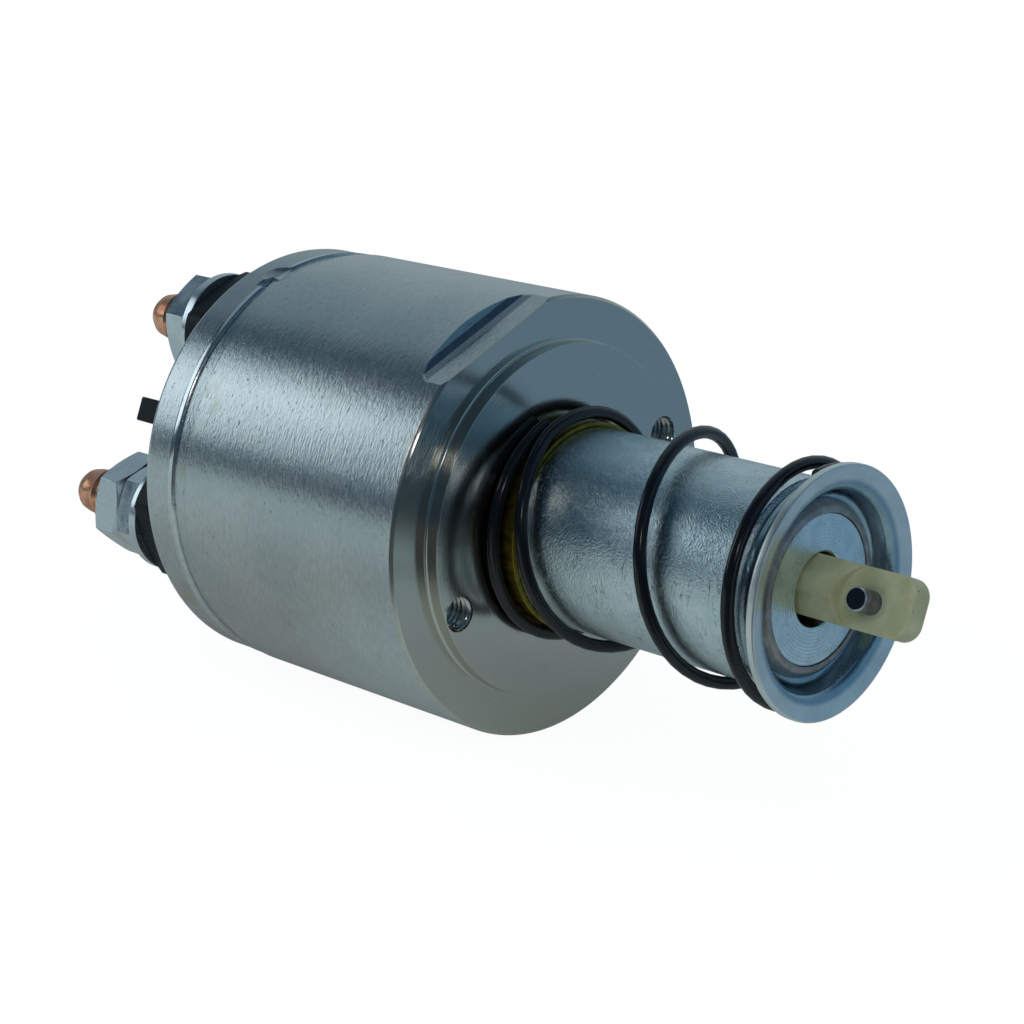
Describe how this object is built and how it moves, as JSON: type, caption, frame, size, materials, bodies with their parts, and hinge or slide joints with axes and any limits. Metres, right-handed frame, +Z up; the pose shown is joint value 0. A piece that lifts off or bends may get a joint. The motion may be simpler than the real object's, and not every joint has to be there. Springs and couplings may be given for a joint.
{
  "type": "starter solenoid",
  "caption": "Starter solenoid: steel pot with windings, spring-returned plunger with a nylon link and cross pin, and copper studs in a black terminal cap.",
  "frame": {"origin": "centre of the front boss face, where the plunger leaves the housing", "axes": "+X along the plunger towards the link, +Z up in the picture, the terminals at the -X end"},
  "size_m": [0.1366, 0.06, 0.06],
  "materials": {
    "housing_steel": "satin zinc-plated turned steel",
    "sleeve_brass": "dull drawn brass",
    "spool_plastic": "moulded nylon",
    "winding_copper": "enamelled copper wire",
    "core_steel": "turned soft iron",
    "seal_rubber": "black rubber",
    "cap_plastic": "black phenolic moulding",
    "stud_copper": "bare copper",
    "zinc_steel": "blue zinc plate",
    "tinned_brass": "tinned brass blade",
    "black_spring_steel": "black oiled spring wire",
    "bright_spring_steel": "bright spring wire",
    "plunger_zinc": "turned steel with blue zinc plate",
    "cup_zinc": "pressed steel with blue zinc plate",
    "link_nylon": "natural cream nylon",
    "pin_steel": "hardened ground steel"
  },
  "bodies": {
    "body": {"housing": "housing_steel", "guide_sleeve": "sleeve_brass", "bobbin": "spool_plastic", "pull_in_winding": "winding_copper", "hold_in_winding": "winding_copper", "fixed_core": "core_steel", "cap_seal": "seal_rubber", "terminal_cap": "cap_plastic", "battery_stud": "stud_copper", "motor_stud": "stud_copper", "terminal_washers": "zinc_steel", "terminal_nuts": "zinc_steel", "battery_lower_nut": "zinc_steel", "coil_terminal": "tinned_brass", "return_spring": "black_spring_steel", "contact_return_spring": "bright_spring_steel"},
    "plunger": {"plunger": "plunger_zinc", "nose_retainer": "plunger_zinc", "spring_cup": "cup_zinc", "engagement_spring": "bright_spring_steel"},
    "link": {"link": "link_nylon", "link_pin": "pin_steel"},
    "contact": {"contact_rod": "core_steel", "contact_disc": "stud_copper", "contact_bush": "spool_plastic", "contact_clip": "bright_spring_steel", "contact_spring": "bright_spring_steel"}
  },
  "joints": [
    {"name": "plunger_slide", "type": "slide", "parent": "body", "child": "plunger", "axis": [-1, 0, 0], "range_m": [0, 0.01], "stiffness_N_per_m": 2000, "springref_m": -0.004, "deforming": ["return_spring"]},
    {"name": "link_slide", "type": "slide", "parent": "plunger", "child": "link", "axis": [1, 0, 0], "range_m": [0, 0.006], "stiffness_N_per_m": 4000, "springref_m": -0.004, "deforming": ["engagement_spring"]},
    {"name": "contact_slide", "type": "slide", "parent": "body", "child": "contact", "axis": [-1, 0, 0], "range_m": [0, 0.0022], "deforming": ["contact_return_spring"]}
  ],
  "couplings": [
    {"joint": "contact_slide", "follows": "plunger_slide", "ratio": 0.22}
  ]
}
